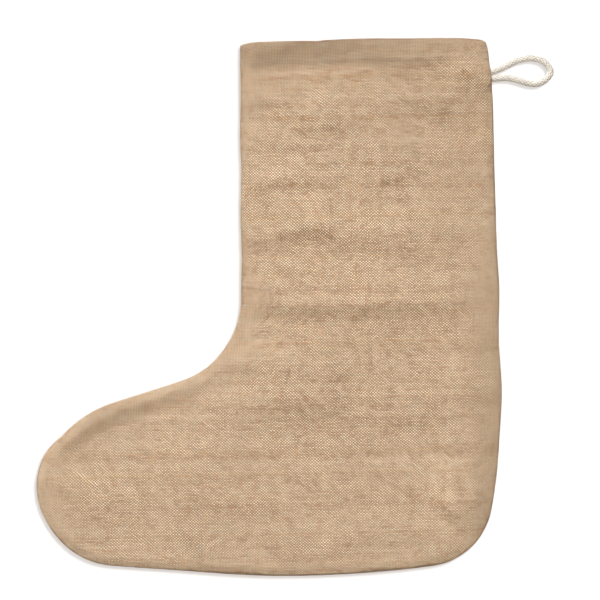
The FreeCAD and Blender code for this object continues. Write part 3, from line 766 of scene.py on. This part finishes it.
def jute_material():
    """Plain weave of coarse jute: every yarn has its own tone, thickness and slubs, crossings stand
    up, and the gaps between them are painted dark as shade."""
    g = Graph(bpy.data.materials.new("jute_cloth"))
    uv = g.node("ShaderNodeUVMap", uv_map="cloth")
    x, z, _ = g.split(uv.outputs[0])
    wander_x = (g.noise(g.vector(x * 60.0, z * 50.0)) - 0.5) * 1.5
    wander_z = (g.noise(g.vector(x * 45.0 + 17.0, z * 60.0)) - 0.5) * 1.6
    u = x * (1 / WARP) + wander_x + 400.0
    v = z * (1 / WEFT) + wander_z + 600.0
    i, j = u.floor(), v.floor()
    cu, cv = u.fract() - 0.5, v.fract() - 0.5
    # Thickness of each yarn, with slubs along its length.
    thick_i = g.white(i, 1.0) * 0.12 + g.noise(g.vector(i * 3.7, z * 150.0)) * 0.50 + 0.62
    thick_j = g.white(j, 2.0) * 0.14 + g.noise(g.vector(x * 120.0, j * 5.3)) * 0.62 + 0.58
    pi = math.pi
    over_i = ((v - 0.5 + i) * pi).cos()
    over_j = ((u - 0.5 + j) * pi).cos() * -1.0
    round_i = (1.0 - cu * cu * 3.8).highest(0.0).root() * thick_i
    round_j = (1.0 - cv * cv * 3.8).highest(0.0).root() * thick_j
    high_i = over_i * 0.46 + round_i
    high_j = over_j * 0.46 + round_j
    height = high_i.highest(high_j)
    warp_up = high_i.above(high_j)
    weft_up = 1.0 - warp_up
    # Tone: fibres along each yarn, a lot from crossing to crossing, a little from yarn to yarn.
    fibre_i = g.noise(g.vector(x * 5200.0, z * 700.0), 2.0, 0.6)
    fibre_j = g.noise(g.vector(x * 700.0, z * 5200.0), 2.0, 0.6)
    fibre = fibre_i * warp_up + fibre_j * weft_up
    each = g.white((u + 0.5 * weft_up).floor(), (v + 0.5 * warp_up).floor(), warp_up * 9.0)
    tone_i = g.white(i, 7.0) * 0.10 + g.noise(g.vector(i * 9.1, z * 260.0)) * 0.55
    tone_j = g.white(j, 8.0) * 0.14 + g.noise(g.vector(x * 210.0, j * 7.7)) * 0.85
    tone = tone_i * warp_up + tone_j * weft_up + each * 0.42 + fibre * 0.25
    colour = g.mix(g.ramp(tone, 0.30, 1.12), linear(128, 82, 48), linear(255, 230, 198))
    # Straw and reddish yarns here and there.
    hue = g.white(i * warp_up + j * weft_up, warp_up * 31.0 + 3.0)
    colour = g.mix(g.ramp(hue, 0.84, 1.0, 0.0, 0.22), colour, linear(214, 176, 122))
    colour = g.mix(g.ramp(hue, 0.12, 0.0, 0.0, 0.20), colour, linear(178, 134, 104))
    # The weft stands prouder. Painted light and shade: weft crossings are painted lighter and warp
    # crossings darker, with some tint between them.
    colour = g.times(colour, g.mix(weft_up, (0.62, 0.385, 0.235, 1.0), (1.22, 1.39, 1.49, 1.0)))
    patch = g.noise(g.vector(x * 16.0, z * 26.0), 3.0, 0.55)
    colour = g.scale_colour(colour, g.ramp(patch, 0.25, 0.75, 0.96, 1.04))
    # The folded hem is two layers thick. Painted shade darkens its band, most on the shin side and
    # less towards the heel.
    hem = g.ramp(z, TOP - HEM - 1.0 * MM, TOP - HEM + 1.0 * MM)
    hem = hem * g.ramp(x, SHIN_X + 190 * MM, SHIN_X + 110 * MM, 0.35, 1.0)
    colour = g.scale_colour(colour, 1.0 - hem * 0.15)
    # Painted shade in the gaps between yarns, and specks of bark.
    colour = g.mix(g.ramp(height, 1.10, 0.50, 0.0, 0.92), colour, linear(92, 56, 30))
    speck = g.noise(g.vector(x * 330.0, z * 420.0), 2.0, 0.5)
    colour = g.mix(g.ramp(speck, 0.78, 0.84, 0.0, 0.75), colour, linear(98, 58, 36))
    normal = g.bump(height + fibre * 0.25, 0.36 * MM, 1.0)
    rough = g.ramp(height, 0.5, 1.3, 0.95, 0.80)
    return g.surface(colour, rough, normal, Specular_IOR_Level=0.2, Sheen_Weight=0.15,
                     Sheen_Roughness=0.45, Sheen_Tint=linear(235, 214, 184))


def yarn_material(name, pale, deep, shade, twist_pitch, strands):
    """Twisted yarn: diagonal plies, fine fibre and a soft sheen. The UV gives the distance along
    the yarn and the turn around it, and lie paints shade on what is buried."""
    g = Graph(bpy.data.materials.new(name))
    uv = g.node("ShaderNodeUVMap", uv_map="yarn")
    along, around, _ = g.split(uv.outputs[0])
    wave = ((along * (1 / twist_pitch) + around * strands) * math.tau).cos()
    ply = wave * 0.5 + 0.5
    fibre = g.noise(g.vector(along * 2600.0, around * 26.0), 3.0, 0.6)
    soil = g.noise(g.vector(along * 90.0, around * 3.0), 2.0)
    # Painted shade: the tone is darker in the grooves between plies; the fibre noise is the yarn's own
    # tone.
    tone = ply * 0.45 + fibre * 0.55
    colour = g.mix(g.ramp(tone, 0.1, 0.8), deep, pale)
    # Painted shade: where lie is low, the colour is mixed towards the shade colour.
    lie = g.node("ShaderNodeAttribute", attribute_name="lie")
    colour = g.mix(g.ramp(lie.outputs["Fac"], 0.0, 1.0), shade, colour)
    colour = g.scale_colour(colour, g.ramp(soil, 0.3, 0.8, 0.92, 1.03))
    normal = g.bump(ply.root() + fibre * 0.5, 0.10 * MM, 0.8)
    return g.surface(colour, 0.9, normal, Specular_IOR_Level=0.2, Sheen_Weight=0.35,
                     Sheen_Roughness=0.5, Sheen_Tint=(1.0, 0.98, 0.95, 1.0))


# ---- round yarns and threads


def tube(path, radius, sides, across=None, flatten=1.0):
    """Rings round a path. across is the direction each ring's first axis leans to, and flatten
    squeezes the ring along it. Returns points, triangles and UV (along, around)."""
    path = np.asarray(path, float)
    run = unit(np.gradient(path, axis=0))
    if across is None:
        across = np.tile([0.0, 1.0, 0.0], (len(path), 1))
    first = unit(across - run * np.sum(across * run, axis=1, keepdims=True))
    second = np.cross(run, first)
    turn = np.arange(sides) / sides * math.tau
    radius = np.broadcast_to(np.asarray(radius, float), (len(path),))[:, None, None]
    ring = (first[:, None, :] * np.cos(turn)[None, :, None] * flatten
            + second[:, None, :] * np.sin(turn)[None, :, None]) * radius
    points = (path[:, None, :] + ring).reshape(-1, 3)
    rows, cols = np.meshgrid(np.arange(len(path) - 1), np.arange(sides), indexing="ij")
    a = (rows * sides + cols).ravel()
    b = (rows * sides + (cols + 1) % sides).ravel()
    c, d = a + sides, b + sides
    tris = np.concatenate([np.stack([a, b, c], 1), np.stack([b, d, c], 1)])
    last = (len(path) - 1) * sides
    caps = [(0, k + 1, k) for k in range(1, sides - 1)]
    caps += [(last, last + k, last + k + 1) for k in range(1, sides - 1)]
    tris = np.concatenate([tris, np.array(caps)])
    along = np.concatenate([[0], np.cumsum(np.linalg.norm(np.diff(path, axis=0), axis=1))])
    uv = np.stack([np.repeat(along, sides), np.tile(np.arange(sides) / sides, len(path))], 1)
    return points, tris, uv


def join_parts(parts):
    points, tris, uvs, total = [], [], [], 0
    for p, t, uv in parts:
        points.append(p)
        tris.append(t + total)
        uvs.append(uv)
        total += len(p)
    return np.concatenate(points), np.concatenate(tris), np.concatenate(uvs)


def make_yarns(name, parts, material, lie=None):
    """One mesh from many tubes. lie is 1 where a yarn is on the surface and 0 where it is buried,
    where the material paints shade.
    """
    points, tris, uvs = join_parts(parts)
    obj = make_mesh(name, points, tris)
    set_uv(obj, "yarn", uvs)
    if lie is None:
        lie = np.ones(len(points))
    obj.data.attributes.new("lie", "FLOAT", "POINT").data.foreach_set("value", lie.astype(np.float32))
    obj.data.materials.append(material)
    return obj


def smooth_path(knots, step):
    """An even Catmull-Rom curve through the knots."""
    knots = np.asarray(knots, float)
    padded = np.concatenate([[2 * knots[0] - knots[1]], knots, [2 * knots[-1] - knots[-2]]])
    out = []
    for p0, p1, p2, p3 in zip(padded, padded[1:], padded[2:], padded[3:]):
        t = np.linspace(0, 1, 24, endpoint=False)[:, None]
        out.append(0.5 * (2 * p1 + (p2 - p0) * t + (2 * p0 - 5 * p1 + 4 * p2 - p3) * t ** 2
                          + (3 * p1 - p0 - 3 * p2 + p3) * t ** 3))
    out.append(knots[-1:])
    return resample(np.concatenate(out), step)


# ---- the braided cord

CORD_R = 2.5 * MM
FLUFF = 0.25 * MM         # how far the loose cotton stands out beyond the cord's nominal radius
CARRIERS = 6              # strands winding each way
PICK = 3.2 * MM           # length of one crossing's repeat along the cord
STRAND_WIDE = 0.90 * MM   # half width of a strand
STRAND_FLAT = 0.46        # thickness of a strand over its width
WEAVE_RISE = 0.34 * MM    # how far a strand moves in and out as it passes over and under
CORD_STEP = 0.3 * MM

# Centre line of the relaxed cord outside the bag. Each point is a fraction of the way from where it
# leaves the seam to the far end of the eye, and a height in eye radii.
RELAXED = (
    (-0.02, 0.125), (0.175, 0.440), (0.395, 0.903), (0.566, 1.097), (0.690, 1.126), (0.858, 0.913),
    (0.962, 0.495), (1.0, 0.078), (0.979, -0.272), (0.889, -0.650), (0.767, -0.874), (0.631, -0.845),
    (0.487, -0.650), (0.342, -0.447), (0.195, -0.369), (-0.025, -0.425),
)


def cord_path():
    """Centre line of the whole cord, from one sewn-in end round the loop to the other."""
    low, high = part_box("cord_tails_braid")
    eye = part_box("cord_loop_braid")[1][0] - CORD_R
    exit_x = high[0]
    knots = [(exit_x + f * (eye - exit_x), 0.0, h * eye) for f, h in RELAXED]
    first, last = knots[0], knots[-1]
    inward = exit_x - low[0]

    def sewn_in(knot, end_z, shares):
        """Points from a knot to the cord's end inside the seam."""
        return [(knot[0] - inward * t, 0.0, knot[2] * (1 - t) + end_z * t) for t in shares]

    start = sewn_in(first, high[2] * 0.36, (1.0, 0.6, 0.25))
    end = sewn_in(last, low[2] * 0.70, (0.25, 0.6, 1.0))
    return smooth_path(start + knots + end, CORD_STEP)


def braid_parts(path):
    """Tubes of a round braid: half wind each way, passing over and under in turn, round a core."""
    along = np.arange(len(path)) * CORD_STEP
    run = unit(np.gradient(path, axis=0))
    side = np.tile([0.0, 1.0, 0.0], (len(path), 1))
    other = np.cross(run, side)
    middle = CORD_R + FLUFF - WEAVE_RISE - STRAND_WIDE * STRAND_FLAT
    lay = PICK * CARRIERS
    made = []
    for way in (1, -1):
        for carrier in range(CARRIERS):
            slip = RNG.uniform(-0.05, 0.05)
            angle = way * math.tau * along / lay + math.tau * (carrier + slip) / CARRIERS
            radial = middle + way * WEAVE_RISE * np.cos(math.tau * along / PICK)
            outward = side * np.cos(angle)[:, None] + other * np.sin(angle)[:, None]
            width = STRAND_WIDE * RNG.uniform(0.93, 1.06)
            made.append((path + outward * radial[:, None], outward, width, STRAND_FLAT, 10))
    made.append((path, side, middle - WEAVE_RISE - 0.12 * MM, 1.0, 12))
    return made


def build_cord(material):
    """The cord as two pieces, cut across both legs between its two bends."""
    path = cord_path()
    cut_x = SWING.x * 0.32 + FOLD.x * 0.68
    cuts = np.flatnonzero(np.abs(path[:, 0] - cut_x) < CORD_STEP * 0.6)
    first, last = cuts[0], cuts[-1]
    strands = braid_parts(path)

    def piece(name, spans):
        parts, lie = [], []
        for a, b in spans:
            for line, outward, width, flat, sides in strands:
                made = tube(line[a:b], width, sides, outward[a:b], flat)
                centre = np.repeat(path[a:b], sides, axis=0)
                deep = np.linalg.norm(made[0] - centre, axis=1) / (CORD_R + FLUFF)
                parts.append(made)
                # Painted shade: sunken strand sides and the core get a low lie, which the material
                # paints dark.
                lie.append(smoothstep(0.77, 0.97, deep))
        return make_yarns(name, parts, material, np.concatenate(lie))

    root = piece("cord_root", [(0, first + 1), (last, len(path))])
    loop = piece("cord_loop", [(first, last + 1)])
    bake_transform(root)
    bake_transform(loop)
    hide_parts("cord_tails_braid", "cord_tails_core", "cord_stem_braid", "cord_stem_core")
    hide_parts("cord_loop_braid", "cord_loop_core")


# ---- sewing threads


def bag_thread(name, node, paths, material, sides=6):
    obj = make_yarns(name, [tube(path, THREAD_R, sides) for path in paths], material)
    belongs_to_bag(obj, node)


def seam_frame(inset, step):
    """Points along the seam at a distance inside it, with the lift of the cloth over the cord."""
    line = resample(SEAM, step)
    normals = inward_normals(line)
    flat = settle_outline(line, np.zeros(len(line)))
    lift = np.minimum(cord_bump(line, np.zeros(len(line))), CORD_LIFT)
    keep = line[:, 1] < TOP - 1.5 * MM
    return (flat + normals * inset)[keep], normals[keep], lift[keep]


def lockstitch(side):
    """One thread of the seam: flat along its own side, dipping to the middle at every stitch."""
    stitch, step, inset = 3.0 * MM, 0.5 * MM, 2.5 * MM
    flat, _, lift = seam_frame(inset, step)
    phase = np.arange(len(flat)) * step / stitch
    dip = np.exp(-((phase - np.round(phase)) / 0.12) ** 2)
    lock = 0.15 * MM          # where the two threads hook round each other
    y = side * ((LAYER_OUT + THREAD_R + lift) * (1 - dip) + lock * dip)
    return np.stack([flat[:, 0], y, flat[:, 1]], 1)


def overlock():
    """Loops that bind the raw edges of the two allowances together."""
    stitch, step = 3.6 * MM, 0.4 * MM
    # Each corner is a share of the stitch, a distance inside the seam in mm, and a side.
    corners = ((0.0, 6.0, -1), (0.30, 9.9, -1), (0.36, 10.1, 0), (0.42, 9.9, 1), (0.70, 6.2, 1),
               (0.92, 9.9, 1), (0.97, 10.1, 0), (1.0, 9.9, -1))
    flat, normals, lift = seam_frame(0.0, step)
    along = np.arange(len(flat)) * step
    repeats = int(along[-1] / stitch)
    place = np.array([(n + t) * stitch for n in range(repeats) for t, _, _ in corners])
    inset = np.tile([c[1] for c in corners], repeats) * MM
    sign = np.tile([c[2] for c in corners], repeats).astype(float)
    x, z, normal_x, normal_z, raised = (np.interp(place, along, column)
                                        for column in (*flat.T, *normals.T, lift))
    y = sign * (LAYER_OUT + THREAD_R + raised)
    path = np.stack([x + normal_x * inset, y, z + normal_z * inset], 1)
    return resample(path, 0.9 * MM)


def hem_stitch(panel, side):
    """Blind stitch that holds the hem, following the inside of the finished panel."""
    tree = BVHTree.FromObject(panel, bpy.context.evaluated_depsgraph_get())
    stitch, beats = 6.0 * MM, 6
    on_hem, on_cloth = HEM - 1.5 * MM, HEM + 1.0 * MM
    start, end = SHIN_X + 11 * MM, HEEL_X - 13 * MM
    path = []
    for index, x in enumerate(np.arange(start, end, stitch / beats)):
        z = TOP - (on_hem if index % beats < 4 else on_cloth)
        hit = tree.ray_cast(Vector((x, 0, z)), Vector((0, side, 0)), 0.1)[0]
        y = hit.y - side * THREAD_R * 0.7 if hit is not None else path[-1][1]
        path.append((x, y, z))
    return resample(np.array(path), 0.8 * MM)


def cord_tack():
    """Close zigzag through the cloth and the cord's ends."""
    low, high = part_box("cord_tack_thread")
    middle, half_width = (low[0] + high[0]) / 2, 1.2 * MM
    out = CORD_LIFT + 1.25 * MM
    pitch = 0.6 * MM
    rows = []
    for index in range(int((high[2] - low[2]) / pitch)):
        y = out if index % 2 else -out
        z = low[2] + index * pitch
        rows.append((middle - half_width, y, z))
        rows.append((middle + half_width, y, z + pitch / 2))
    return resample(np.array(rows), 0.6 * MM)


# ---- backdrop, light and camera


def stage_material():
    """Pale matte board. Seen from behind it vanishes, so that the back of the part can be looked at.
    Away from the part it glows more, so that the floor and the far wall are as pale as the rest."""
    g = Graph(bpy.data.materials.new("pale_board"))
    facing = g.node("ShaderNodeNewGeometry")
    x, y, z = g.split(facing.outputs["Position"])
    low, high = CAD_BOX
    aside = x - (low[0] + high[0]) / 2
    ahead = y - high[1]
    above = z - (low[2] + high[2]) / 2
    away = (aside * aside + ahead * ahead + above * above).root()
    dim, bright = 0.40, 1.0
    floor_glow = g.ramp(z, low[2] - 40 * MM, low[2] - 100 * MM, dim, bright)
    strength = g.ramp(away, 0.37, 0.50, dim, bright).highest(floor_glow)
    diffuse = g.shader("ShaderNodeBsdfDiffuse", Color=(0.84, 0.85, 0.87, 1.0))
    glow = g.shader("ShaderNodeEmission", Color=(0.96, 0.97, 1.0, 1.0), Strength=strength)
    both = g.shader("ShaderNodeAddShader", diffuse, glow)
    clear = g.shader("ShaderNodeBsdfTransparent")
    return g.finish(g.shader("ShaderNodeMixShader", facing.outputs["Backfacing"], both, clear))


def build_stage():
    """One sheet: a wall behind the part that bends into the floor. The folded loop clears it."""
    low, high = (np.array(c) for c in CAD_BOX)
    reach = 1.4               # half width
    wall_y = high[1] + 26 * MM
    wall_top = high[2] + 0.9
    floor_z = low[2] - 110 * MM
    floor_front = wall_y - 2.2
    bend = 60 * MM
    bend_steps = 12
    profile = [(wall_y, wall_top)]
    for step in range(bend_steps + 1):
        angle = math.pi / 2 * step / bend_steps
        profile.append((wall_y - bend * (1 - math.cos(angle)), floor_z + bend * (1 - math.sin(angle))))
    profile.append((floor_front, floor_z))
    middle = (low[0] + high[0]) / 2
    points = [(middle + s * reach, y, z) for y, z in profile for s in (-1, 1)]
    faces = [(2 * i, 2 * i + 2, 2 * i + 3, 2 * i + 1) for i in range(len(profile) - 1)]
    board = make_mesh("backdrop", points, faces)
    board.data.materials.append(stage_material())
    for use in ("visible_diffuse", "visible_glossy", "visible_transmission", "visible_shadow"):
        setattr(board, use, False)
    return board


BOARD_POWER = 36.0        # W
BOARD_LAMP_SIZE = 0.036   # m
BOARD_LAMP_OFF = (0.075, 0.0, 0.080)      # from the camera
CAMERA_LENS = 100.0       # mm
SENSOR = 36.0             # mm
FRAME_MARGIN = 1.1433     # width of the picture over the width of the part
CAMERA_SHIFT = (0.0031, 0.0070)           # to the right of the part's middle, and up
CAMERA_ROLL = -1.28       # degrees


def place_lamp(data, colour, lit):
    """Adds a lamp that lights only the given objects."""
    data.color = colour
    lamp = bpy.data.objects.new(data.name, data)
    bpy.context.scene.collection.objects.link(lamp)
    receivers = bpy.data.collections.new(data.name + "_lit")
    for obj in lit:
        receivers.objects.link(obj)
    lamp.light_linking.receiver_collection = receivers
    return lamp


def sun_light(name, direction, angle, strength, colour, lit):
    """An even lamp from a direction, soft over the given angle."""
    data = bpy.data.lights.new(name, "SUN")
    data.angle = math.radians(angle)
    data.energy = strength
    lamp = place_lamp(data, colour, lit)
    lamp.rotation_euler = Vector(direction).to_track_quat("-Z", "Y").to_euler()


def board_light(board):
    """A lamp just above and to the right of the camera, so that each shadow on the board shows
    beside whatever casts it."""
    data = bpy.data.lights.new("board_key", "POINT")
    data.energy = BOARD_POWER
    data.shadow_soft_size = BOARD_LAMP_SIZE
    lamp = place_lamp(data, (1.0, 0.99, 0.98), [board])
    lamp.location = bpy.context.scene.camera.location + Vector(BOARD_LAMP_OFF)


def build_light(board, pieces):
    """Key from above and a little to the left, fill, and rear light on the part."""
    sun_light("key", (0.36, 1.0, -1.15), 18, 2.95, (0.98, 0.99, 1.0), pieces)
    sun_light("fill", (0.3, 1.0, 0.6), 40, 0.62, (1.0, 0.92, 0.80), pieces)
    sun_light("rear", (0.4, -1.0, -0.8), 25, 2.2, (1.0, 0.99, 0.97), pieces)
    board_light(board)
    g = Graph(bpy.data.worlds.new("studio"))
    soft = g.shader("ShaderNodeBackground", Color=(1.0, 0.94, 0.85, 1.0), Strength=0.38)
    seen = g.shader("ShaderNodeBackground", Color=(1.0, 1.0, 1.0, 1.0))
    camera_ray = g.node("ShaderNodeLightPath").outputs["Is Camera Ray"]
    choose = g.shader("ShaderNodeMixShader", camera_ray, soft, seen)
    bpy.context.scene.world = g.finish(choose, "World")


def build_camera():
    """Square on to the front, far enough back that the part fills the frame with a small margin."""
    low, high = (Vector(c) for c in CAD_BOX)
    centre = (low + high) / 2
    data = bpy.data.cameras.new("camera")
    data.lens = CAMERA_LENS
    data.sensor_width = SENSOR
    frame_width = (high.x - low.x) * FRAME_MARGIN
    distance = frame_width * data.lens / data.sensor_width
    camera = bpy.data.objects.new("camera", data)
    bpy.context.scene.collection.objects.link(camera)
    right, up = CAMERA_SHIFT
    camera.location = centre + Vector((right, -distance, up))
    camera.rotation_euler = Vector((0, 1, 0)).to_track_quat("-Z", "Y").to_euler()
    camera.rotation_euler.rotate_axis("Z", math.radians(CAMERA_ROLL))
    bpy.context.scene.camera = camera
    bpy.context.scene.view_settings.view_transform = "Standard"


# ---- putting it together

panels = build_panels()
jute = jute_material()
for panel in panels.values():
    panel.data.materials.append(jute)
# The third colour of each yarn is the painted shade of its buried parts.
build_cord(yarn_material("cotton_braid", linear(255, 254, 250), linear(240, 232, 220),
                         linear(142, 102, 70), 7 * MM, 7))
thread = yarn_material("sewing_thread", linear(206, 178, 142), linear(150, 118, 84),
                       linear(104, 76, 50), 1.0 * MM, 3)
bag_thread("seam_needle_thread", "side_seam_needle_thread", [lockstitch(FRONT)], thread)
bag_thread("seam_bobbin_thread", "side_seam_bobbin_thread", [lockstitch(BACK)], thread)
bag_thread("overlock_thread", "allowance_overlock_thread", [overlock()], thread, 5)
bag_thread("tack_thread", "cord_tack_thread", [cord_tack()], thread)
bag_thread("hem_thread", "hem_threads", [hem_stitch(panels["cloth_front"], FRONT),
                                         hem_stitch(panels["cloth_back"], BACK)], thread)
build_camera()
board = build_stage()
build_light(board, [o for o in bpy.data.objects if o.type == "MESH" and o is not board])
